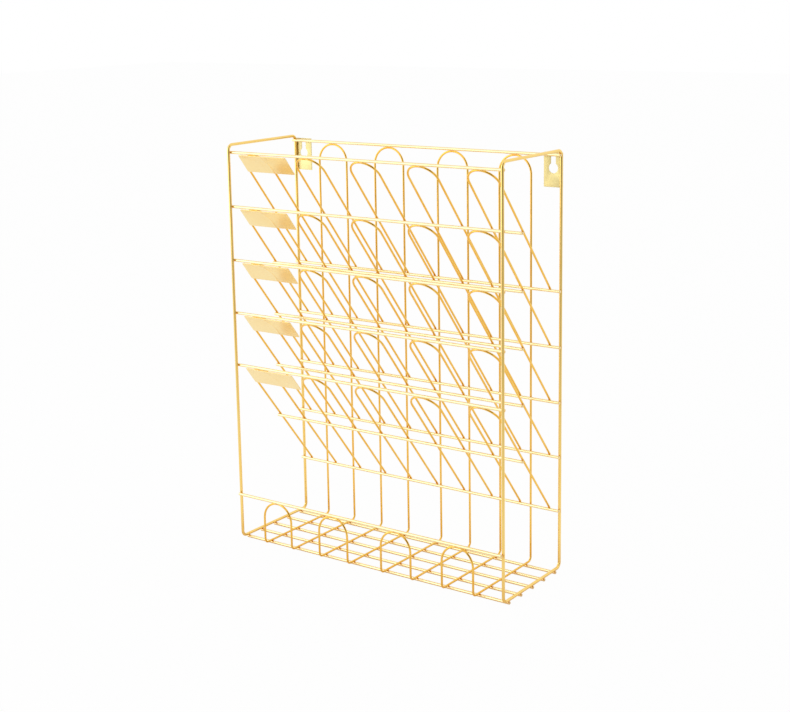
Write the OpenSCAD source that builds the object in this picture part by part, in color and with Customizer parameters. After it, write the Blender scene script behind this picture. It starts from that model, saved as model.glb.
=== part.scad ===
// Five-tier wire document rack, welded from round wire: two closed side frames, cross rails, twenty-five
// slanted arches, four long floor loops, five label plates and two keyhole hanger plates.
// Millimetres. +Z is up, +X is the viewer's right, the open front faces -Y and the wall side faces +Y.
// The origin is the middle of the footprint, on the surface that the rack stands on.

/* [Overall] */
// Width between the centre lines of the two side frames
frame_pitch = 317; // [260:1:380]
// Depth between the centre lines of the front and back posts
frame_depth = 105.5; // [80:0.5:140]
// Height between the centre lines of the top and bottom bars of a side frame
frame_height = 409; // [330:1:480]
// Bend radius of the side frame corners, on the centre line
frame_bend = 5.5; // [4:0.5:14]

/* [Wire] */
// Diameter of the wire in the side frames and in every straight rail
rail_wire = 3.0; // [2.5:0.1:4]
// Diameter of the wire in the slanted arches and in the floor loops
thin_wire = 2.1; // [1.6:0.1:2.6]
// How far two wires sink into each other at a weld
weld_sink = 0.1; // [0.02:0.02:0.2]
// How far a flat plate sinks onto a wire at a weld
plate_sink = 0.02; // [0.01:0.01:0.05]

/* [Tiers] */
// Drop from the centre of the top bars to the top front rail
front_rail_drop = 7.6; // [6:0.2:14]
// Drop from a tier's front rail to its back rail
tier_drop = 125.8; // [100:0.2:150]
// Height from one tier to the next
tier_pitch = 54.4; // [45:0.2:64]
// Drop from the centre of the top bars to the top back rail
back_top_drop = 4.4; // [3:0.2:10]
// Height of the lower front rail above the centre of the bottom bars
lower_rail_height = 46.8; // [35:0.2:60]
// Place of the middle rail along the slope, from front rail to back rail
middle_share = 0.5; // [0.4:0.01:0.6]
// How far the front rails run on past the centre lines of the front posts
front_rail_overrun = 0.5; // [0.4:0.1:1.5]

/* [Slanted arches] */
// Distance between neighbouring slanted legs, also the width of an arch
leg_pitch = 32.8; // [28:0.2:36]
// Length of leg that runs on past the back rail
leg_overrun = 1.2; // [0.5:0.1:1.4]

/* [Floor loops] */
// Width of a loop between the centre lines of its two wires
loop_width = 35; // [30:0.5:40]
// Distance from the middle of the rack to the centre of an inner loop
inner_loop_offset = 38; // [34:0.5:42]
// Distance from the middle of the rack to the centre of an outer loop
outer_loop_offset = 109; // [100:0.5:118]
// Bend radius where a loop turns between floor and upright, on the centre line
loop_bend = 4.5; // [3:0.5:10]
// How far behind the lower front rail's centre the low arches stand
low_arch_setback = 1.4; // [0:0.1:2]

/* [Floor cross wires] */
// Distance from a post's centre line to the nearest floor cross wire
floor_wire_margin = 9.35; // [7:0.05:14]

/* [Label plates] */
// Width of a label plate
label_width = 60; // [40:1:80]
// Height of a label plate along the slope
label_height = 23; // [15:0.5:30]
// Thickness of a label plate
label_thick = 0.8; // [0.6:0.1:1.2]
// Gap along the slope between a label plate and its front rail
label_gap = 0.3; // [0.1:0.1:1]

/* [Hanger plates] */
// Width of a hanger plate
hanger_width = 20; // [16:0.5:24]
// Height of a hanger plate
hanger_height = 33; // [26:0.5:42]
// How far a hanger plate's outer edge stays inside the outer face of the side frame
hanger_inset = 1.0; // [0:0.1:1.4]
// Thickness of a hanger plate
hanger_thick = 1.0; // [0.8:0.1:1.6]
// How far a hanger plate stands above the centre of the top back rail
hanger_rise = 2; // [0.5:0.1:3]
// Diameter of the round part of a keyhole
keyhole_diameter = 10; // [8:0.5:12]
// Width of the slot above the round part of a keyhole
keyhole_slot = 5.5; // [3.5:0.5:6.5]
// Height of the round part's centre above the lower edge of a hanger plate
keyhole_height = 18; // [10:0.5:22]
// Height from the round part's centre to the rounded end of the slot
keyhole_throw = 9.5; // [8:0.5:12]

/* [Hidden] */
$fn = 64;
rail_r = rail_wire / 2;
thin_r = thin_wire / 2;
half_pitch = frame_pitch / 2;
half_width = half_pitch + rail_r;
front_rail_half = half_pitch + front_rail_overrun;
rail_to_rail = rail_wire - weld_sink;
rail_to_thin = rail_r + thin_r - weld_sink;
// The floor cross wires carry the rack, so the bottom bars stand one weld above them.
bar_z = rail_r + rail_to_rail;
floor_z = rail_r;
loop_floor_z = floor_z + rail_to_thin;
// Depths: the lower front rail is the foremost piece and the hanger plates, behind the posts, the rearmost.
hanger_depth = hanger_thick - plate_sink;
overall_depth = rail_wire + rail_to_rail + frame_depth + hanger_depth;
back_post_y = overall_depth / 2 - hanger_depth - rail_r;
front_post_y = back_post_y - frame_depth;
lower_rail_y = front_post_y - rail_to_rail;
front_rail_y = front_post_y + rail_to_rail;
back_rail_y = back_post_y - rail_to_rail;
loop_back_y = back_rail_y + rail_to_thin;
loop_front_y = lower_rail_y + low_arch_setback;
top_z = bar_z + frame_height;
front_top_z = top_z - front_rail_drop;
lower_rail_z = bar_z + lower_rail_height;
back_top_z = top_z - back_top_drop;
// The slope runs through the front rail's centre and passes over the back rail.
slope_run = back_rail_y - front_rail_y;
slope_reach = sqrt(slope_run * slope_run + tier_drop * tier_drop);
slope_angle = atan2(tier_drop, slope_run) - asin(rail_to_thin / slope_reach);
leg_foot = sqrt(slope_reach * slope_reach - rail_to_thin * rail_to_thin);
arch_r = leg_pitch / 2;
arch_crown = rail_to_thin;
leg_start = arch_crown + arch_r;
leg_end = leg_foot + leg_overrun;
middle_along = middle_share * leg_foot;
// Five floor cross wires, evenly spaced between the margins at the front and back posts.
floor_wire_pitch = (frame_depth - 2 * floor_wire_margin) / 4;
loop_r = loop_width / 2;
loop_top_z = back_top_z - rail_to_thin - loop_r;
low_arch_drop = sqrt(rail_to_thin * rail_to_thin - low_arch_setback * low_arch_setback);
low_arch_z = lower_rail_z - low_arch_drop - loop_r;
middle_half = 4.5 * leg_pitch + thin_r + 0.4;
label_left = -4.5 * leg_pitch - thin_r;
label_start = rail_r + label_gap;
label_depth = thin_r + label_thick / 2 - plate_sink;
hanger_y = back_post_y + rail_r - plate_sink;
hanger_top = back_top_z + hanger_rise;
keyhole_x = half_width - hanger_inset - hanger_width / 2;
keyhole_z = hanger_top - hanger_height + keyhole_height;

tiers = [1, 2, 3, 4, 5];
arches = [1, 2, 3, 4, 5];
loop_offsets = [-outer_loop_offset, -inner_loop_offset, inner_loop_offset, outer_loop_offset];

module rod_x(from, to, y, z, r) {
    translate([from, y, z]) rotate([0, 90, 0]) cylinder(h = to - from, r = r);
}

module rod_y(x, from, to, z, r) {
    translate([x, from, z]) rotate([-90, 0, 0]) cylinder(h = to - from, r = r);
}

module rod_z(x, y, from, to, r) {
    translate([x, y, from]) cylinder(h = to - from, r = r);
}

// A bend in the plane of depth and height: from the direction "turn" degrees above +Y, a quarter turn on.
module side_bend(x, y, z, bend, turn, r) {
    translate([x, y, z]) rotate([turn, 0, 0]) rotate([90, 0, 90])
        rotate_extrude(angle = 90) translate([bend, 0]) circle(r = r);
}

// A half turn over the top of an upright arch.
module crown(x, y, z, bend, r) {
    translate([x, y, z]) rotate([90, 0, 0]) rotate_extrude(angle = 180) translate([bend, 0]) circle(r = r);
}

module side_frame(x) {
    low = bar_z + frame_bend;
    high = top_z - frame_bend;
    near = front_post_y + frame_bend;
    far = back_post_y - frame_bend;
    rod_z(x, front_post_y, low, high, rail_r);
    rod_z(x, back_post_y, low, high, rail_r);
    rod_y(x, near, far, bar_z, rail_r);
    rod_y(x, near, far, top_z, rail_r);
    side_bend(x, far, high, frame_bend, 0, rail_r);
    side_bend(x, near, high, frame_bend, 90, rail_r);
    side_bend(x, near, low, frame_bend, 180, rail_r);
    side_bend(x, far, low, frame_bend, 270, rail_r);
}

module cross_rail(half, y, z) {
    rod_x(-half, half, y, z, rail_r);
}

// Puts its children on a tier's slope: X across, Y down the slope from the front rail, Z up from its face.
module on_slope(tier) {
    z = front_top_z - (tier - 1) * tier_pitch;
    translate([0, front_rail_y, z]) rotate([-slope_angle, 0, 0]) children();
}

module slanted_arch(tier, column) {
    x = (2 * column - 6) * leg_pitch;
    on_slope(tier) {
        translate([x, leg_start, 0]) rotate([0, 0, 180]) rotate_extrude(angle = 180)
            translate([arch_r, 0]) circle(r = thin_r);
        rod_y(x - arch_r, leg_start, leg_end, 0, thin_r);
        rod_y(x + arch_r, leg_start, leg_end, 0, thin_r);
    }
}

module middle_rail(tier) {
    on_slope(tier) rod_x(-middle_half, middle_half, middle_along, -rail_to_thin, rail_r);
}

module label_plate(tier) {
    on_slope(tier) translate([label_left, label_start, -label_depth - label_thick / 2])
        cube([label_width, label_height, label_thick]);
}

module floor_loop(index) {
    x = loop_offsets[index - 1];
    near = loop_front_y + loop_bend;
    far = loop_back_y - loop_bend;
    low = loop_floor_z + loop_bend;
    crown(x, loop_back_y, loop_top_z, loop_r, thin_r);
    crown(x, loop_front_y, low_arch_z, loop_r, thin_r);
    for (side = [-1, 1]) {
        leg_x = x + side * loop_r;
        rod_z(leg_x, loop_back_y, low, loop_top_z, thin_r);
        rod_z(leg_x, loop_front_y, low, low_arch_z, thin_r);
        rod_y(leg_x, near, far, loop_floor_z, thin_r);
        side_bend(leg_x, near, low, loop_bend, 180, thin_r);
        side_bend(leg_x, far, low, loop_bend, 270, thin_r);
    }
}

module floor_wire(index) {
    y = front_post_y + floor_wire_margin + (index - 1) * floor_wire_pitch;
    cross_rail(half_width, y, floor_z);
}

module hanger_plate(side) {
    difference() {
        translate([side * keyhole_x - hanger_width / 2, hanger_y, hanger_top - hanger_height])
            cube([hanger_width, hanger_thick, hanger_height]);
        translate([side * keyhole_x, hanger_y - 1, keyhole_z]) rotate([-90, 0, 0])
            cylinder(h = hanger_thick + 2, d = keyhole_diameter);
        translate([side * keyhole_x, hanger_y - 1, keyhole_z + keyhole_throw]) rotate([-90, 0, 0])
            cylinder(h = hanger_thick + 2, d = keyhole_slot);
        translate([side * keyhole_x - keyhole_slot / 2, hanger_y - 1, keyhole_z])
            cube([keyhole_slot, hanger_thick + 2, keyhole_throw]);
    }
}

color("goldenrod") side_frame(-half_pitch);  // left_side_frame
color("goldenrod") side_frame(half_pitch);  // right_side_frame
color("gold") cross_rail(half_width, back_rail_y, back_top_z);  // back_top_rail
color("gold")  // lower_front_rail
    cross_rail(front_rail_half, lower_rail_y, lower_rail_z);
for (tier = tiers) {
    front_z = front_top_z - (tier - 1) * tier_pitch;
    back_z = front_z - tier_drop;
    color("gold")
        cross_rail(front_rail_half, front_rail_y, front_z);
    color("gold") middle_rail(tier);
    color("gold")
        cross_rail(half_width, back_rail_y, back_z);
    color("khaki") label_plate(tier);
    for (column = arches) {
        color("orange") slanted_arch(tier, column);
    }
    color("gold") floor_wire(tier);
}
for (index = [1, 2, 3, 4]) {
    color("orange") floor_loop(index);
}
color("khaki") hanger_plate(-1);  // left_hanger_plate
color("khaki") hanger_plate(1);  // right_hanger_plate
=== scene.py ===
"""Looks of the five-tier wire document rack: swept wires, weld beads, plates, plated finish, studio."""

import math

import bmesh
import bpy
import numpy as np
from mathutils import Matrix, Vector


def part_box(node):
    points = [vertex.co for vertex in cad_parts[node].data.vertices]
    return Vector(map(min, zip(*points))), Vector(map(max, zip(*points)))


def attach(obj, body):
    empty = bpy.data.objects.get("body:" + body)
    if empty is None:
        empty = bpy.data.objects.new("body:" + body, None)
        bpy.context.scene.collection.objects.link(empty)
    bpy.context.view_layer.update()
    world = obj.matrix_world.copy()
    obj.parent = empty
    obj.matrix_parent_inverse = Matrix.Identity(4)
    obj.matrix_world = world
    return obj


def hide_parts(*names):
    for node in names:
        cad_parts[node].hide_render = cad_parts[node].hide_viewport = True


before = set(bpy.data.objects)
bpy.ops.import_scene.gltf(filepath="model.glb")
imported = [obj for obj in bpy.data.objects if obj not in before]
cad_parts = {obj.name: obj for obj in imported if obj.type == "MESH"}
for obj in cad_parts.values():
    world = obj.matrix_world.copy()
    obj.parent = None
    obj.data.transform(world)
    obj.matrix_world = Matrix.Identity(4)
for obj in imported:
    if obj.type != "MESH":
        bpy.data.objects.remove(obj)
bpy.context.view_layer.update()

# Lengths are millimetres, as in the part's source; MM turns them into scene metres.
MM = 0.001
RAIL_R = 1.5
THIN_R = 1.05
WELD_SINK = 0.1
FRAME_BEND = 5.5
LOOP_BEND = 4.5
LOW_ARCH_SETBACK = 1.4
LEG_OVERRUN = 1.2
PLATE_SINK = 0.02
LABEL_HEIGHT = 23.0
LABEL_THICK = 0.8
LABEL_GAP = 0.3
KEYHOLE_R = 5.0
KEYHOLE_SLOT_R = 2.75
KEYHOLE_HEIGHT = 18.0
KEYHOLE_THROW = 9.5
TIERS = range(1, 6)
COLUMNS = range(1, 6)
LOOPS = range(1, 5)
SIDES = (-1, 1)
QUARTER = math.pi / 2
RAIL_TO_THIN = RAIL_R + THIN_R - WELD_SINK
# From a rail's or a leg's centre line to the middle of its weld.
RAIL_WELD = RAIL_R - WELD_SINK / 2
LEG_WELD = WELD_SINK / 2 - THIN_R


def box_mm(node):
    low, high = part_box(node)
    return np.array(low) / MM, np.array(high) / MM


def centre_mm(node):
    low, high = box_mm(node)
    return (low + high) / 2


def at(x, y, z):
    return np.array([x, y, z])


FRAMES = {"left_side_frame": -1, "right_side_frame": 1}
RAILS = ["back_top_rail", "lower_front_rail"]
RAILS += [f"front_rail_{t}" for t in TIERS]
RAILS += [f"back_rail_{t}" for t in TIERS]
RAILS += [f"middle_rail_{t}" for t in TIERS]
RAILS += [f"floor_wire_{t}" for t in TIERS]

post_x = centre_mm("right_side_frame")[0]
frame_low, frame_high = box_mm("right_side_frame")
front_post_y = frame_low[1] + RAIL_R
back_post_y = frame_high[1] - RAIL_R
bar_z = frame_low[2] + RAIL_R
top_z = frame_high[2] - RAIL_R
rail_at = {name: centre_mm(name) for name in RAILS}
rail_half = {name: box_mm(name)[1][0] for name in RAILS}

# A tier's slope runs from its front rail's centre and passes over its back rail.
run = rail_at["back_rail_1"][1] - rail_at["front_rail_1"][1]
drop = rail_at["front_rail_1"][2] - rail_at["back_rail_1"][2]
reach = math.hypot(run, drop)
slope = math.atan2(drop, run) - math.asin(RAIL_TO_THIN / reach)
leg_foot = math.sqrt(reach**2 - RAIL_TO_THIN**2)
DOWN_SLOPE = at(0.0, math.cos(slope), -math.sin(slope))
OFF_SLOPE = at(0.0, math.sin(slope), math.cos(slope))
ACROSS = at(1.0, 0.0, 0.0)
BACK = at(0.0, 1.0, 0.0)
UP = at(0.0, 0.0, 1.0)


def on_slope(tier, x, along, off=0.0):
    start = at(0.0, *rail_at[f"front_rail_{tier}"][1:])
    return start + x * ACROSS + along * DOWN_SLOPE + off * OFF_SLOPE


arch_box = {c: box_mm(f"tier_1_arch_{c}") for c in COLUMNS}
arch_x = {c: (arch_box[c][0][0] + arch_box[c][1][0]) / 2 for c in COLUMNS}
arch_r = (arch_box[1][1][0] - arch_box[1][0][0]) / 2 - THIN_R
leg_start = RAIL_TO_THIN + arch_r
leg_end = leg_foot + LEG_OVERRUN
middle_along = float((rail_at["middle_rail_1"] - rail_at["front_rail_1"]) @ DOWN_SLOPE)
leg_xs = [arch_x[c] + side * arch_r for c in COLUMNS for side in SIDES]

loop_box = {i: box_mm(f"floor_loop_{i}") for i in LOOPS}
loop_x = {i: (loop_box[i][0][0] + loop_box[i][1][0]) / 2 for i in LOOPS}
loop_r = (loop_box[1][1][0] - loop_box[1][0][0]) / 2 - THIN_R
loop_front_y = loop_box[1][0][1] + THIN_R
loop_back_y = loop_box[1][1][1] - THIN_R
loop_floor_z = loop_box[1][0][2] + THIN_R
loop_top_z = loop_box[1][1][2] - THIN_R - loop_r
low_arch_drop = math.sqrt(RAIL_TO_THIN**2 - LOW_ARCH_SETBACK**2)
low_arch_z = rail_at["lower_front_rail"][2] - low_arch_drop - loop_r
loop_leg_xs = [loop_x[i] + side * loop_r for i in LOOPS for side in SIDES]

# Every weld: the place, the two wire directions that meet there, and the rail whose beads it joins.
BRIDGE_DROP = 0.45
welds = []


def weld(group, place, first, second, lift, kind="cross"):
    """lift points from one wire's centre line to the other's."""
    ways = {"first": first, "second": second, "lift": lift}
    welds.append({"group": group, "place": place, "kind": kind, **ways})


def crown_weld(rail, crown, depth, kind):
    """A weld between a rail and the crown of a loop, depth below the crown's centre line."""
    lean = crown - at(crown[0], *rail_at[rail][1:])
    lean /= np.linalg.norm(lean)
    weld(rail, crown - lean * depth, ACROSS, np.cross(ACROSS, lean), lean, kind)


for t in TIERS:
    front, middle = f"front_rail_{t}", f"middle_rail_{t}"
    back, floor = f"back_rail_{t}", f"floor_wire_{t}"
    for name, toward in ((front, -1), (back, 1)):
        y, z = rail_at[name][1:]
        for side in SIDES:
            weld(name, at(side * post_x, y + toward * RAIL_WELD, z), ACROSS, UP, BACK)
    for c in COLUMNS:
        weld(front, on_slope(t, arch_x[c], RAIL_WELD), ACROSS, OFF_SLOPE, DOWN_SLOPE, "seam")
    for x in leg_xs:
        weld(middle, on_slope(t, x, middle_along, LEG_WELD), ACROSS, DOWN_SLOPE, OFF_SLOPE)
        weld(back, on_slope(t, x, leg_foot, LEG_WELD), ACROSS, DOWN_SLOPE, OFF_SLOPE)
    y, z = rail_at[back][1:]
    for x in loop_leg_xs:
        weld(back, at(x, y + RAIL_WELD, z), ACROSS, UP, BACK)
    y, z = rail_at[floor][1:]
    for x in loop_leg_xs + [-post_x, post_x]:
        weld(floor, at(x, y, z + RAIL_WELD), ACROSS, BACK, UP)
for name in ("back_top_rail", "lower_front_rail"):
    y, z = rail_at[name][1:]
    for side in SIDES:
        weld(name, at(side * post_x, y + RAIL_WELD, z), ACROSS, UP, BACK)
for i in LOOPS:
    tall_crown = at(loop_x[i], loop_back_y, loop_top_z + loop_r)
    low_crown = at(loop_x[i], loop_front_y, low_arch_z + loop_r)
    crown_weld("back_top_rail", tall_crown, THIN_R + BRIDGE_DROP, "bridge")
    crown_weld("lower_front_rail", low_crown, THIN_R, "seam")

weld_places = np.array([w["place"] for w in welds])

# Swept wires: rings of (centre, tangent, sheet normal), closer together at welds and round bends.
NEAR_WELD = (-5.0, -3.2, -2.0, -1.1, 0.0, 1.1, 2.0, 3.2, 5.0)
WELD_REACH = 3.2
LONGEST_STEP = 30.0
SHORTEST_STEP = 0.5
LAST_STEP = 0.4
SAME_PLACE = 0.05
BEND_STEP = math.radians(6)
# A cut end: distances from it, and the share of the wire's radius there.
END_EASE = ((0.0, 0.72), (0.12, 0.86), (0.34, 0.97), (0.6, 1.0))
END_CLEAR = 0.8
# How far the painted shade round a weld reaches, and how fast it fades.
SHADE_REACH = 3.4
SHADE_FADE = 1.5
UV_PER_MM = 0.01
RAIL_SIDES = 24
THIN_SIDES = 20


def line_steps(start, end):
    """Distances along a straight stretch at which a ring is set."""
    length = np.linalg.norm(end - start)
    heading = (end - start) / length
    steps = [0.0, length]
    offset = weld_places - start
    along = offset @ heading
    away = np.linalg.norm(offset - along[:, None] * heading, axis=1)
    for s in along[away < WELD_REACH]:
        steps += [s + d for d in NEAR_WELD]
    steps += list(np.linspace(0, length, max(2, int(length / LONGEST_STEP) + 1)))
    kept = []
    for s in sorted(x for x in steps if 0 <= x <= length):
        if not kept or s - kept[-1] > SHORTEST_STEP or s == length:
            kept.append(s)
    if len(kept) > 2 and length - kept[-2] < LAST_STEP:
        kept.pop(-2)
    return kept


def straight(start, end, normal):
    heading = (end - start) / np.linalg.norm(end - start)
    return [(start + s * heading, heading, normal) for s in line_steps(start, end)]


def bend(centre, from_side, to_side, radius, angle, normal=None):
    """An arc about centre that starts at from_side and turns towards to_side. A missing normal means that
    the wire bends out of its sheet, so the sheet's normal turns with it."""
    count = max(2, int(math.ceil(angle / BEND_STEP)))
    rings = []
    for k in range(count + 1):
        a = angle * k / count
        outward = math.cos(a) * from_side + math.sin(a) * to_side
        heading = -math.sin(a) * from_side + math.cos(a) * to_side
        rings.append((centre + radius * outward, heading, outward if normal is None else normal))
    return rings


def join(*stretches):
    """One list of rings, with the doubled ring at each meeting left out."""
    rings = []
    for stretch in stretches:
        for ring in stretch:
            if rings and np.linalg.norm(ring[0] - rings[-1][0]) < SAME_PLACE:
                continue
            rings.append(ring)
    return rings


def eased_ends(rings):
    """The rings of an open wire with those of its eased ends, each with its share of the radius."""
    first, last = rings[0], rings[-1]
    head = [((first[0] + first[1] * d, *first[1:]), share) for d, share in END_EASE]
    tail = [((last[0] - last[1] * d, *last[1:]), share) for d, share in reversed(END_EASE)]
    middle = []
    for ring in rings[1:-1]:
        if min(np.linalg.norm(ring[0] - end[0]) for end in (first, last)) > END_CLEAR:
            middle.append((ring, 1.0))
    return head + middle + tail


def wire_coordinates(mesh, rings, sides, walls):
    """UVs for the finish: the distance along the wire and the turn round it."""
    travel = np.zeros(len(rings) + 1)
    places = np.array([r[0] for r in rings] + [rings[0][0]])
    travel[1:] = np.cumsum(np.linalg.norm(np.diff(places, axis=0), axis=1))
    layer = mesh.uv_layers.new(name="wire")
    for polygon in mesh.polygons:
        first_k, first_j = divmod(polygon.index, sides)
        for corner in polygon.loop_indices:
            k, j = divmod(mesh.loops[corner].vertex_index, sides)
            if polygon.index < walls:
                k = k if k == first_k else first_k + 1
                j = j if j == first_j else first_j + 1
            layer.data[corner].uv = (travel[k] * UV_PER_MM, j / sides)


def painted_contact_shade(points):
    """The painted shade where wires touch: 1 at a weld, fading to 0 at the edge of its reach."""
    contact_dark = np.zeros(len(points))
    low, high = points.min(0) - SHADE_REACH, points.max(0) + SHADE_REACH
    near = np.all((weld_places > low) & (weld_places < high), axis=1)
    for place in weld_places[near]:
        away = np.linalg.norm(points - place, axis=1)
        contact_dark = np.maximum(contact_dark, np.clip(1 - away / SHADE_REACH, 0, 1) ** SHADE_FADE)
    return contact_dark


def tube_mesh(name, rings, radius, sides, closed):
    """A mesh tube along the rings, with eased, cut ends where it is open."""
    shaped = [(ring, 1.0) for ring in rings] if closed else eased_ends(rings)
    rings = [ring for ring, _ in shaped]
    count = len(rings)
    turn = np.linspace(0, 2 * math.pi, sides, endpoint=False)
    points = np.zeros((count, sides, 3))
    for k, ((place, heading, normal), share) in enumerate(shaped):
        across = np.cross(heading, normal)
        circle = np.cos(turn)[:, None] * normal + np.sin(turn)[:, None] * across
        points[k] = place + radius * share * circle
    points = points.reshape(-1, 3)
    faces = []
    spans = count if closed else count - 1
    for k in range(spans):
        n = (k + 1) % count
        for j in range(sides):
            m = (j + 1) % sides
            faces.append((k * sides + j, k * sides + m, n * sides + m, n * sides + j))
    if not closed:
        faces.append(tuple(reversed(range(sides))))
        faces.append(tuple(range((count - 1) * sides, count * sides)))
    mesh = bpy.data.meshes.new(name)
    mesh.from_pydata((points * MM).tolist(), [], faces)
    mesh.update()
    wire_coordinates(mesh, rings, sides, spans * sides)
    # Painted shade: how dark the wire is painted near each weld, where wires touch.
    contact_dark = mesh.attributes.new("painted_contact_shade", "FLOAT", "POINT")
    contact_dark.data.foreach_set("value", painted_contact_shade(points).astype(np.float32))
    mesh.polygons.foreach_set("use_smooth", [len(f) == 4 for f in faces])
    return mesh


def place_piece(name, mesh, material, slot, *nodes):
    piece = bpy.data.objects.new(name, mesh)
    bpy.context.scene.collection.objects.link(piece)
    mesh.materials.clear()
    mesh.materials.append(material)
    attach(piece, "root")
    if nodes:
        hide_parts(*nodes)
    return piece


def add_node(tree, kind, values=None, **settings):
    """A shader node with its settings made and its input values set."""
    made = tree.nodes.new("ShaderNode" + kind)
    for key, value in settings.items():
        setattr(made, key, value)
    for key, value in (values or {}).items():
        made.inputs[key].default_value = value
    return made


def add_range(tree, source, given, taken, **settings):
    """A node that maps a socket's values from the given range to the taken one."""
    ends = {"From Min": given[0], "From Max": given[1], "To Min": taken[0], "To Max": taken[1]}
    made = add_node(tree, "MapRange", ends, **settings)
    tree.links.new(source, made.inputs["Value"])
    return made


def new_look(name):
    look = bpy.data.materials.new(name)
    look.use_nodes = True
    look.node_tree.nodes.clear()
    return look


# Finish: one polished brass-coloured plating, a little different on each gauge and on the sheet pieces;
# the rails' paler colour is partly a painted highlight.
UNIT = (0.0, 1.0)
# The colour and share of the painted shade round welds, where wires touch; welds are also a little duller.
CONTACT_SHADE_COLOUR = (0.72, 0.3, 0.006)
CONTACT_SHADE_SHARE = 0.85
WELD_DULL = 0.22
WIRE_CLOUD = {"Scale": 42.0, "Detail": 3.0}
WIRE_TONES = (0.3, 0.7)
WIRE_LINES = (6.0, 26.0, 1.0)
WIRE_GRAIN = {"Scale": 1.0, "Detail": 4.0}
WIRE_GLOSS = (0.7, 1.35)
WIRE_RELIEF = 0.0002
SHEET_CLOUD = {"Scale": 30.0, "Detail": 4.0}
SHEET_TONES = (0.25, 0.75)
SHEET_LINES = (20.0, 130.0, 130.0)
SHEET_GRAIN = {"Scale": 1.0, "Detail": 3.0}
SHEET_GLOSS = (0.8, 1.25)
SHEET_STREAK = 0.02
SHEET_RELIEF = 0.0001


def plated_metal(name, pale, rich, cloud, tones):
    """A metal look, its shader, and its cloudy tone between the rich and the pale colour."""
    look = new_look(name)
    tree = look.node_tree
    link = tree.links.new
    out = add_node(tree, "OutputMaterial")
    shader = add_node(tree, "BsdfPrincipled", {"Metallic": 1.0})
    link(shader.outputs["BSDF"], out.inputs["Surface"])
    place = add_node(tree, "TexCoord")
    clouds = add_node(tree, "TexNoise", cloud)
    link(place.outputs["Object"], clouds.inputs["Vector"])
    tone = add_node(tree, "ValToRGB")
    for stop, position, colour in zip(tone.color_ramp.elements, tones, (rich, pale)):
        stop.position = position
        stop.color = (*colour, 1)
    link(clouds.outputs["Fac"], tone.inputs["Fac"])
    return look, shader, tone.outputs["Color"]


def fine_lines(tree, shader, vector, scale, grain, gloss, streak, depth):
    """Fine lines that raise the surface a little and vary its gloss, which is returned."""
    link = tree.links.new
    stretch = add_node(tree, "Mapping", {"Scale": scale})
    link(vector, stretch.inputs["Vector"])
    lines = add_node(tree, "TexNoise", grain)
    link(stretch.outputs["Vector"], lines.inputs["Vector"])
    relief = add_node(tree, "Bump", {"Strength": streak, "Distance": depth})
    link(lines.outputs["Fac"], relief.inputs["Height"])
    link(relief.outputs["Normal"], shader.inputs["Normal"])
    return add_range(tree, lines.outputs["Fac"], UNIT, gloss).outputs["Result"]


def wire_finish(name, pale, rich, roughness, streak):
    """Polished wire with lines along it, duller where it was welded, with a painted shade round each weld
    where wires touch.
    """
    look, shader, tone = plated_metal(name, pale, rich, WIRE_CLOUD, WIRE_TONES)
    tree = look.node_tree
    link = tree.links.new
    # Painted shade: the wire's colour is mixed towards a dark red-orange near each weld, where wires
    # touch.
    contact_dark = add_node(tree, "Attribute", attribute_name="painted_contact_shade")
    amount = add_node(tree, "Math", {1: CONTACT_SHADE_SHARE}, operation="MULTIPLY")
    link(contact_dark.outputs["Fac"], amount.inputs[0])
    contact_mix = add_node(tree, "Mix", {"B": (*CONTACT_SHADE_COLOUR, 1)}, data_type="RGBA")
    link(amount.outputs[0], contact_mix.inputs["Factor"])
    link(tone, contact_mix.inputs["A"])
    link(contact_mix.outputs["Result"], shader.inputs["Base Color"])
    along = add_node(tree, "UVMap", uv_map="wire").outputs["UV"]
    gloss = [roughness * share for share in WIRE_GLOSS]
    shine = fine_lines(tree, shader, along, WIRE_LINES, WIRE_GRAIN, gloss, streak, WIRE_RELIEF)
    dull = add_node(tree, "Math", {1: WELD_DULL}, operation="MULTIPLY_ADD")
    link(contact_dark.outputs["Fac"], dull.inputs[0])
    link(shine, dull.inputs[2])
    link(dull.outputs[0], shader.inputs["Roughness"])
    return look


def sheet_finish(name, pale, rich, roughness):
    """Satin sheet with faint brush lines across it."""
    look, shader, tone = plated_metal(name, pale, rich, SHEET_CLOUD, SHEET_TONES)
    tree = look.node_tree
    tree.links.new(tone, shader.inputs["Base Color"])
    place = add_node(tree, "TexCoord").outputs["Object"]
    gloss = [roughness * share for share in SHEET_GLOSS]
    shine = fine_lines(
        tree, shader, place, SHEET_LINES, SHEET_GRAIN, gloss, SHEET_STREAK, SHEET_RELIEF
    )
    tree.links.new(shine, shader.inputs["Roughness"])
    return look


# Each finish: pale colour, rich colour, roughness and, for wire, the strength of its lines.
frame_gold = wire_finish("plated_frame_wire", (0.98, 0.71, 0.24), (0.96, 0.66, 0.19), 0.12, 0.03)
# The rails' paler colour is partly their own plating and partly a painted highlight.
highlit_rail_gold = wire_finish("plated_rail_wire_painted_highlight", (0.93, 0.78, 0.45), (0.92, 0.73, 0.38), 0.15, 0.03)
thin_gold = wire_finish("plated_thin_wire", (0.95, 0.61, 0.13), (0.93, 0.55, 0.09), 0.11, 0.03)
bead_gold = wire_finish("weld_bead_plating", (0.97, 0.45, 0.015), (0.9, 0.36, 0.008), 0.28, 0.15)
label_gold = sheet_finish("satin_label_sheet", (0.98, 0.79, 0.42), (0.97, 0.75, 0.36), 0.24)
hanger_gold = sheet_finish("satin_hanger_sheet", (0.83, 0.72, 0.35), (0.80, 0.685, 0.325), 0.52)


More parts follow.
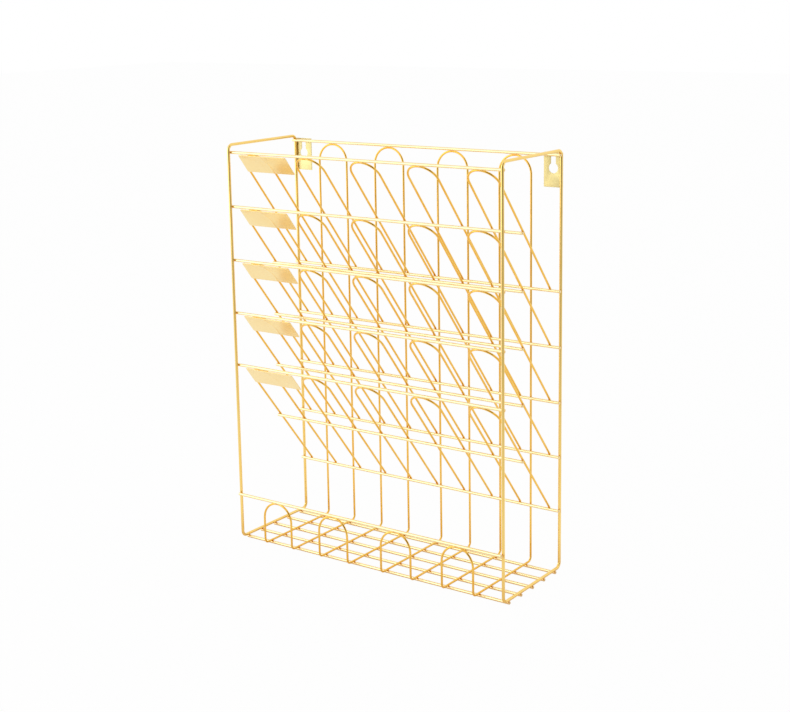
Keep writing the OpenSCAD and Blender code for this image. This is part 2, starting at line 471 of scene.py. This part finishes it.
def side_frame_rings(x):
    near, far = front_post_y + FRAME_BEND, back_post_y - FRAME_BEND
    under, over = bar_z + FRAME_BEND, top_z - FRAME_BEND
    return join(
        straight(at(x, front_post_y, under), at(x, front_post_y, over), ACROSS),
        bend(at(x, near, over), -BACK, UP, FRAME_BEND, QUARTER, ACROSS),
        straight(at(x, near, top_z), at(x, far, top_z), ACROSS),
        bend(at(x, far, over), UP, BACK, FRAME_BEND, QUARTER, ACROSS),
        straight(at(x, back_post_y, over), at(x, back_post_y, under), ACROSS),
        bend(at(x, far, under), BACK, -UP, FRAME_BEND, QUARTER, ACROSS),
        straight(at(x, far, bar_z), at(x, near, bar_z), ACROSS),
        bend(at(x, near, under), -UP, -BACK, FRAME_BEND, QUARTER, ACROSS),
    )[:-1]


def arch_rings(tier, column):
    x = arch_x[column]
    left, right = x - arch_r, x + arch_r
    centre = on_slope(tier, x, leg_start)
    return join(
        straight(on_slope(tier, left, leg_end), on_slope(tier, left, leg_start), OFF_SLOPE),
        bend(centre, -ACROSS, -DOWN_SLOPE, arch_r, math.pi, OFF_SLOPE),
        straight(on_slope(tier, right, leg_start), on_slope(tier, right, leg_end), OFF_SLOPE),
    )


def loop_rings(index):
    """Round the closed loop: along the floor, up the left upright, over the tall crown, down the right,
    forward along the floor and over the low arch at the front."""
    x = loop_x[index]
    left, right = x - loop_r, x + loop_r
    front, back = loop_front_y, loop_back_y
    near, far = front + LOOP_BEND, back - LOOP_BEND
    under = loop_floor_z + LOOP_BEND
    return join(
        straight(at(left, near, loop_floor_z), at(left, far, loop_floor_z), -UP),
        bend(at(left, far, under), -UP, BACK, LOOP_BEND, QUARTER),
        straight(at(left, back, under), at(left, back, loop_top_z), BACK),
        bend(at(x, back, loop_top_z), -ACROSS, UP, loop_r, math.pi, BACK),
        straight(at(right, back, loop_top_z), at(right, back, under), BACK),
        bend(at(right, far, under), BACK, -UP, LOOP_BEND, QUARTER),
        straight(at(right, far, loop_floor_z), at(right, near, loop_floor_z), -UP),
        bend(at(right, near, under), -UP, -BACK, LOOP_BEND, QUARTER),
        straight(at(right, front, under), at(right, front, low_arch_z), -BACK),
        bend(at(x, front, low_arch_z), ACROSS, UP, loop_r, math.pi, -BACK),
        straight(at(left, front, low_arch_z), at(left, front, under), -BACK),
        bend(at(left, near, under), -BACK, -UP, LOOP_BEND, QUARTER),
    )[:-1]


for name, side in FRAMES.items():
    mesh = tube_mesh(name + "_wire", side_frame_rings(side * post_x), RAIL_R, RAIL_SIDES, True)
    place_piece(name + "_wire", mesh, frame_gold, "frame_wire", name)
for name in RAILS:
    y, z = rail_at[name][1:]
    half = rail_half[name]
    rings = straight(at(-half, y, z), at(half, y, z), UP)
    mesh = tube_mesh(name + "_wire", rings, RAIL_R, RAIL_SIDES, False)
    place_piece(name + "_wire", mesh, highlit_rail_gold, "rail_wire", name)
for t in TIERS:
    for c in COLUMNS:
        name = f"tier_{t}_arch_{c}"
        mesh = tube_mesh(name + "_wire", arch_rings(t, c), THIN_R, THIN_SIDES, False)
        place_piece(name + "_wire", mesh, thin_gold, "thin_wire", name)
for i in LOOPS:
    name = f"floor_loop_{i}"
    mesh = tube_mesh(name + "_wire", loop_rings(i), THIN_R, THIN_SIDES, True)
    place_piece(name + "_wire", mesh, thin_gold, "thin_wire", name)

# Weld beads: small upset metal in the corner between two wires, one piece for each rail. Sizes are along
# the first wire, along the second, and from one to the other.
BEAD_SIZES = {"cross": (1.0, 1.0, 0.4), "seam": (2.6, 0.45, 0.42), "bridge": (2.2, 0.7, 0.8)}
BEAD_TURNS = 14
BEAD_BANDS = 8
BEAD_WOBBLE = 0.12
WOBBLE_STEP = 2.4
WOBBLE_START = 0.7
BEAD_RIPPLE = 0.05
RIPPLE_COUNT = 3
BEAD_UV_LONG = 10
BEAD_UV_ROUND = 100
SAME_POINT = 1e-7


def bead_mesh(name, group):
    points, faces = [], []
    for count, w in enumerate(group):
        long, wide, thick = BEAD_SIZES[w["kind"]]
        wobble = 1 + BEAD_WOBBLE * math.sin(WOBBLE_STEP * count + WOBBLE_START)
        base = len(points)
        for band in range(BEAD_BANDS + 1):
            rise = math.pi * band / BEAD_BANDS - QUARTER
            for turn in range(BEAD_TURNS):
                a = 2 * math.pi * turn / BEAD_TURNS
                ripple = 1 + BEAD_RIPPLE * math.sin(RIPPLE_COUNT * a + count)
                swell = wobble * ripple * math.cos(rise)
                p = w["place"] + w["first"] * (long * swell * math.cos(a))
                p = p + w["second"] * (wide * swell * math.sin(a))
                p = p + w["lift"] * (thick * math.sin(rise))
                points.append(p * MM)
        for band in range(BEAD_BANDS):
            low, high = base + band * BEAD_TURNS, base + (band + 1) * BEAD_TURNS
            for turn in range(BEAD_TURNS):
                after = (turn + 1) % BEAD_TURNS
                faces.append((low + turn, low + after, high + after, high + turn))
    mesh = bpy.data.meshes.new(name)
    mesh.from_pydata([tuple(p) for p in points], [], faces)
    mesh.update()
    layer = mesh.uv_layers.new(name="wire")
    for corner in mesh.loops:
        x, y, z = mesh.vertices[corner.vertex_index].co
        layer.data[corner.index].uv = (x * BEAD_UV_LONG, (y + z) * BEAD_UV_ROUND)
    return mesh


def clean_mesh(mesh):
    """Merges doubled points, such as the poles of beads, and turns the faces outwards and smooth."""
    work = bmesh.new()
    work.from_mesh(mesh)
    bmesh.ops.remove_doubles(work, verts=work.verts, dist=SAME_POINT)
    bmesh.ops.recalc_face_normals(work, faces=work.faces)
    for face in work.faces:
        face.smooth = True
    work.to_mesh(mesh)
    work.free()
    mesh.update()


for rail in RAILS:
    mesh = bead_mesh("weld_beads_" + rail, [w for w in welds if w["group"] == rail])
    clean_mesh(mesh)
    place_piece("weld_beads_" + rail, mesh, bead_gold, "rail_wire")

# Label plates: thin pressed sheet with eased corners, faintly raised where the arch behind is welded on.
LABEL_CORNER = 1.2
LABEL_RIDGE = 0.14
RIDGE_HALF = 1.2
LABEL_CELL = 1.0
SHEET_EASE = 0.16
SHEET_SHARP = math.radians(50)


def ridge_height(x, along):
    """How far the sheet stands out over the first arch's wire."""
    if along > leg_start:
        away = abs(abs(x - arch_x[1]) - arch_r)
    else:
        away = abs(math.hypot(x - arch_x[1], along - leg_start) - arch_r)
    return LABEL_RIDGE * math.exp(-((away / RIDGE_HALF) ** 2))


def eased_corner(u, v, half_u, half_v, radius):
    """Pulls a point near a corner of a rectangle in to the corner's round."""
    inner_u, inner_v = half_u - radius, half_v - radius
    du, dv = abs(u) - inner_u, abs(v) - inner_v
    if du <= 0 or dv <= 0:
        return u, v
    pull = max(du, dv) / math.hypot(du, dv)
    return math.copysign(inner_u + du * pull, u), math.copysign(inner_v + dv * pull, v)


def label_mesh(name, tier):
    low_corner, high_corner = box_mm(f"label_plate_{tier}")
    half_u = (high_corner[0] - low_corner[0]) / 2
    half_v = LABEL_HEIGHT / 2
    mid_x = (high_corner[0] + low_corner[0]) / 2
    mid_along = RAIL_R + LABEL_GAP + half_v
    inner = PLATE_SINK - THIN_R
    columns = int(round(2 * half_u / LABEL_CELL))
    rows = int(round(2 * half_v / LABEL_CELL))
    points, faces = [], []
    for face_off in (inner - LABEL_THICK, inner):
        for r in range(rows + 1):
            for c in range(columns + 1):
                u = -half_u + 2 * half_u * c / columns
                v = -half_v + 2 * half_v * r / rows
                u, v = eased_corner(u, v, half_u, half_v, LABEL_CORNER)
                x, along = mid_x + u, mid_along + v
                points.append(on_slope(tier, x, along, face_off - ridge_height(x, along)) * MM)
    width = columns + 1
    layer = width * (rows + 1)
    for r in range(rows):
        for c in range(columns):
            a = r * width + c
            faces.append((a, a + 1, a + 1 + width, a + width))
            faces.append((layer + a, layer + a + width, layer + a + width + 1, layer + a + 1))
    rim = list(range(columns))
    rim += [r * width + columns for r in range(rows)]
    rim += [rows * width + columns - c for c in range(columns)]
    rim += [(rows - r) * width for r in range(rows)]
    for k, a in enumerate(rim):
        b = rim[(k + 1) % len(rim)]
        faces.append((b, a, a + layer, b + layer))
    mesh = bpy.data.meshes.new(name)
    mesh.from_pydata([tuple(p) for p in points], [], faces)
    mesh.update()
    mesh.polygons.foreach_set("use_smooth", [True] * len(faces))
    mesh.set_sharp_from_angle(angle=SHEET_SHARP)
    return mesh


def ease_edges(piece):
    rounding = piece.modifiers.new("eased_edges", "BEVEL")
    rounding.width = SHEET_EASE * MM
    rounding.segments = 2
    rounding.limit_method = "ANGLE"
    rounding.angle_limit = SHEET_SHARP
    rounding.harden_normals = False


for t in TIERS:
    name = f"label_plate_{t}"
    mesh = label_mesh(name + "_sheet", t)
    ease_edges(place_piece(name + "_sheet", mesh, label_gold, "label_sheet", name))

# Hanger plates: punched sheet with a keyhole, its edges eased by the punch.
HANGER_CORNER = 0.7
CORNER_STEPS = 6
KEYHOLE_STEPS = 44
SLOT_STEPS = 22
PUNCH_EASE = 0.12
HANGER_SHARP = math.radians(35)


def flat_outline(curve, points):
    spline = curve.splines.new("POLY")
    spline.points.add(len(points) - 1)
    for target, (u, v) in zip(spline.points, points):
        target.co = (u * MM, v * MM, 0, 1)
    spline.use_cyclic_u = True


def arc_points(u, v, radius, start, end, count):
    turns = [start + (end - start) * k / count for k in range(count + 1)]
    return [(u + radius * math.cos(a), v + radius * math.sin(a)) for a in turns]


def hanger_mesh(name, node):
    low_corner, high_corner = box_mm(node)
    width, thick, height = high_corner - low_corner
    r = HANGER_CORNER
    side = width / 2 - r
    corners = ((side, r), (side, height - r), (-side, height - r), (-side, r))
    outline = []
    for k, (u, v) in enumerate(corners):
        outline += arc_points(u, v, r, (k - 1) * QUARTER, k * QUARTER, CORNER_STEPS)
    gape = math.asin(KEYHOLE_SLOT_R / KEYHOLE_R)
    first, last = QUARTER + gape, QUARTER - gape + 2 * math.pi
    slot_v = KEYHOLE_HEIGHT + KEYHOLE_THROW
    keyhole = arc_points(0, KEYHOLE_HEIGHT, KEYHOLE_R, first, last, KEYHOLE_STEPS)
    keyhole += arc_points(0, slot_v, KEYHOLE_SLOT_R, 0, math.pi, SLOT_STEPS)
    curve = bpy.data.curves.new(name, "CURVE")
    curve.dimensions = "2D"
    curve.fill_mode = "BOTH"
    flat_outline(curve, outline)
    flat_outline(curve, keyhole)
    curve.extrude = (thick / 2 - PUNCH_EASE) * MM
    curve.bevel_depth = PUNCH_EASE * MM
    curve.bevel_resolution = 2
    curve.offset = -PUNCH_EASE * MM
    holder = bpy.data.objects.new(name + "_outline", curve)
    bpy.context.scene.collection.objects.link(holder)
    bpy.context.view_layer.update()
    graph = bpy.context.evaluated_depsgraph_get()
    mesh = bpy.data.meshes.new_from_object(holder.evaluated_get(graph))
    bpy.data.objects.remove(holder)
    bpy.data.curves.remove(curve)
    x, y, _ = (low_corner + high_corner) / 2
    foot = Vector((x, y, low_corner[2])) * MM
    mesh.transform(Matrix.Translation(foot) @ Matrix.Rotation(QUARTER, 4, "X"))
    mesh.name = name
    return mesh


for node in ("left_hanger_plate", "right_hanger_plate"):
    mesh = hanger_mesh(node + "_sheet", node)
    clean_mesh(mesh)
    mesh.set_sharp_from_angle(angle=HANGER_SHARP)
    place_piece(node + "_sheet", mesh, hanger_gold, "hanger_sheet", node)

# Studio: pale floor, soft box, and the dark of the room round the camera, which polished wire picks up.
FLOOR_HALF = 8.0
FLOOR_PAINT = (0.9, 0.9, 0.9)
WHITE = (1, 1, 1, 1)
CAMERA_SIDE = (0.58, -0.815, 0.0)
FLOOR_NEAR = 0.12
FLOOR_FAR = 1.0
GLOW_SHARE = 0.965
MIRRORED_SHARE = 0.4
MIRRORED_NEAR = 1.34
MIRRORED_FAR = 0.25
CLOSE_UP = 0.01
CLOSE_END = 0.1
CLOSE_PAINTED_SHADE = (0.67, 0.48, 0.3)
ROOM_LIGHT = 0.75
ROOM_SEEN = 1.0


def light_seen(tree):
    """1 for rays that come straight from the camera or by way of polished metal or glass."""
    path = add_node(tree, "LightPath")
    first = add_node(tree, "Math", operation="MAXIMUM")
    second = add_node(tree, "Math", operation="MAXIMUM")
    tree.links.new(path.outputs["Is Camera Ray"], first.inputs[0])
    tree.links.new(path.outputs["Is Glossy Ray"], first.inputs[1])
    tree.links.new(first.outputs[0], second.inputs[0])
    tree.links.new(path.outputs["Is Transmission Ray"], second.inputs[1])
    return second.outputs[0]


def stage_square(name, half, look):
    mesh = bpy.data.meshes.new(name)
    corners = [(-half, -half, 0), (half, -half, 0), (half, half, 0), (-half, half, 0)]
    mesh.from_pydata(corners, [], [(0, 1, 2, 3)])
    mesh.materials.append(look)
    square = bpy.data.objects.new(name, mesh)
    bpy.context.scene.collection.objects.link(square)
    return square


def add_dot(tree, vector, way):
    """How far a point lies along a way."""
    made = add_node(tree, "VectorMath", operation="DOT_PRODUCT")
    made.inputs[1].default_value = way
    tree.links.new(vector, made.inputs[0])
    return made.outputs["Value"]


def floor_finish(name):
    """Pale paint that glows to the camera. Polished wire sees more of the shaded paint, and sees the floor
    grow dark towards the camera's side of the room, from FLOOR_NEAR to FLOOR_FAR. A wire that lies close
    above the floor sees a warm shade there, painted into the glow for rays that travel only a short way."""
    look = new_look(name)
    tree = look.node_tree
    link = tree.links.new
    out = add_node(tree, "OutputMaterial")
    both = add_node(tree, "MixShader")
    paint = add_node(tree, "BsdfDiffuse", {"Color": (*FLOOR_PAINT, 1)})
    glow = add_node(tree, "Emission")
    spot = add_node(tree, "TexCoord")
    path = add_node(tree, "LightPath")
    glossy = path.outputs["Is Glossy Ray"]
    toward = add_dot(tree, spot.outputs["Object"], CAMERA_SIDE)
    dim = add_range(tree, toward, (FLOOR_NEAR, FLOOR_FAR), (MIRRORED_NEAR, MIRRORED_FAR))
    level = add_range(tree, glossy, UNIT, (1.0, 1.0))
    link(dim.outputs["Result"], level.inputs["To Max"])
    link(level.outputs["Result"], glow.inputs["Strength"])
    # Painted shade: the floor's glow is painted darker and warmer for rays that travel only a short way.
    clear = add_range(tree, path.outputs["Ray Length"], (CLOSE_UP, CLOSE_END), UNIT)
    close_shade = add_node(tree, "Mix", {"A": (*CLOSE_PAINTED_SHADE, 1), "B": WHITE}, data_type="RGBA")
    link(clear.outputs["Result"], close_shade.inputs["Factor"])
    link(close_shade.outputs["Result"], glow.inputs["Color"])
    kept = add_range(tree, glossy, UNIT, (GLOW_SHARE, MIRRORED_SHARE))
    share = add_node(tree, "Math", operation="MULTIPLY")
    link(light_seen(tree), share.inputs[0])
    link(kept.outputs["Result"], share.inputs[1])
    link(share.outputs[0], both.inputs["Fac"])
    link(paint.outputs["BSDF"], both.inputs[1])
    link(glow.outputs["Emission"], both.inputs[2])
    link(both.outputs["Shader"], out.inputs["Surface"])
    return look


stage_square("studio_floor", FLOOR_HALF, floor_finish("pale_floor"))

world = bpy.data.worlds.new("studio")
bpy.context.scene.world = world
world.use_nodes = True
tree = world.node_tree
tree.nodes.clear()
out = add_node(tree, "OutputWorld")
sky = add_node(tree, "Background", {"Color": WHITE})
level = add_range(tree, light_seen(tree), UNIT, (ROOM_LIGHT, ROOM_SEEN))
tree.links.new(level.outputs["Result"], sky.inputs["Strength"])
tree.links.new(sky.outputs["Background"], out.inputs["Surface"])

LAMP_PLACE = Vector((-1.1, -1.1, 0.58))
LAMP_AIM = Vector((0, 0, 0.3))
LAMP_WIDTH = 1.4
LAMP_HEIGHT = 1.1
LAMP_WATTS = 6.5
lamp = bpy.data.lights.new("left_soft_box", "AREA")
lamp.shape = "RECTANGLE"
lamp.size = LAMP_WIDTH
lamp.size_y = LAMP_HEIGHT
lamp.energy = LAMP_WATTS
soft_box = bpy.data.objects.new("left_soft_box", lamp)
bpy.context.scene.collection.objects.link(soft_box)
soft_box.location = LAMP_PLACE
soft_box.rotation_mode = "QUATERNION"
soft_box.rotation_quaternion = (LAMP_AIM - LAMP_PLACE).to_track_quat("-Z", "Y")

# A tall card at the camera's side, dark in a leaning oval that fades out to the white of the room. Below
# CARD_CLEAR, and below CARD_DARK in the oval, it turns to the dim light of its foot.
CARD_PLACE = Vector((0.842, -1.176, 0.567))
CARD_HALF = 4.5
OVAL_LONG = 5.0
OVAL_SHORT = 0.6
OVAL_LEAN = math.radians(57)
OVAL_CORE = 0.85
OVAL_EDGE = 1.15
CARD_FOOT = -0.5
CARD_DARK = -0.22
CARD_CLEAR = 0.0
FOOT_LIGHT = 0.56


def card_finish(name):
    look = new_look(name)
    tree = look.node_tree
    link = tree.links.new
    out = add_node(tree, "OutputMaterial")
    shine = add_node(tree, "Emission")
    spot = add_node(tree, "TexCoord").outputs["Object"]
    cos, sin = math.cos(OVAL_LEAN), math.sin(OVAL_LEAN)
    oval = add_node(tree, "CombineXYZ")
    link(add_dot(tree, spot, (-cos / OVAL_LONG, sin / OVAL_LONG, 0.0)), oval.inputs["X"])
    link(add_dot(tree, spot, (sin / OVAL_SHORT, cos / OVAL_SHORT, 0.0)), oval.inputs["Y"])
    away = add_node(tree, "VectorMath", operation="LENGTH")
    link(oval.outputs["Vector"], away.inputs[0])
    parts = add_node(tree, "SeparateXYZ")
    link(spot, parts.inputs["Vector"])
    height = parts.outputs["Y"]
    inside = add_range(tree, height, (CARD_FOOT, CARD_DARK), (FOOT_LIGHT, 0.0))
    outside = add_range(tree, height, (CARD_FOOT, CARD_CLEAR), (FOOT_LIGHT, 1.0))
    edge = (OVAL_CORE, OVAL_EDGE)
    fade = add_range(tree, away.outputs["Value"], edge, UNIT, interpolation_type="SMOOTHSTEP")
    link(inside.outputs["Result"], fade.inputs["To Min"])
    link(outside.outputs["Result"], fade.inputs["To Max"])
    link(fade.outputs["Result"], shine.inputs["Strength"])
    link(shine.outputs["Emission"], out.inputs["Surface"])
    return look


card = stage_square("camera_side_card", CARD_HALF, card_finish("fading_card"))
card.location = CARD_PLACE
card.rotation_mode = "QUATERNION"
card.rotation_quaternion = Vector((-CARD_PLACE.x, -CARD_PLACE.y, 0)).to_track_quat("Z", "Y")
card.visible_camera = False
card.visible_diffuse = False
card.visible_shadow = False
card.visible_transmission = False

# Camera, fitted to the picture's frame of 790 by 712.
FRAME_W = 790.0
FRAME_H = 712.0
FOCAL_PX = 1475.14
AXIS_X = 395.0
AXIS_Y = 280.0
SENSOR_MM = 36.0
CLIP_NEAR = 0.01
CLIP_FAR = 100.0
CAMERA_PLACE = Vector((0.82236, -1.1484, 0.56128))
AZIMUTH = math.radians(35.4443)
ELEVATION = math.radians(11.1112)
ROLL = math.radians(-0.9521)
level_reach = math.cos(ELEVATION)
ahead_x = -math.sin(AZIMUTH) * level_reach
ahead_y = math.cos(AZIMUTH) * level_reach
forward = Vector((ahead_x, ahead_y, -math.sin(ELEVATION)))
level_right = forward.cross(Vector((0, 0, 1))).normalized()
level_up = level_right.cross(forward)
right = math.cos(ROLL) * level_right + math.sin(ROLL) * level_up
upward = -math.sin(ROLL) * level_right + math.cos(ROLL) * level_up
lens = bpy.data.cameras.new("camera")
lens.sensor_fit = "AUTO"
lens.sensor_width = SENSOR_MM
lens.lens = FOCAL_PX * SENSOR_MM / FRAME_W
lens.shift_x = (FRAME_W / 2 - AXIS_X) / FRAME_W
lens.shift_y = (AXIS_Y - FRAME_H / 2) / FRAME_W
lens.clip_start = CLIP_NEAR
lens.clip_end = CLIP_FAR
camera = bpy.data.objects.new("camera", lens)
bpy.context.scene.collection.objects.link(camera)
turned = Matrix((right, upward, -forward)).transposed()
camera.matrix_world = Matrix.Translation(CAMERA_PLACE) @ turned.to_4x4()
bpy.context.scene.camera = camera
bpy.context.scene.view_settings.view_transform = "Standard"
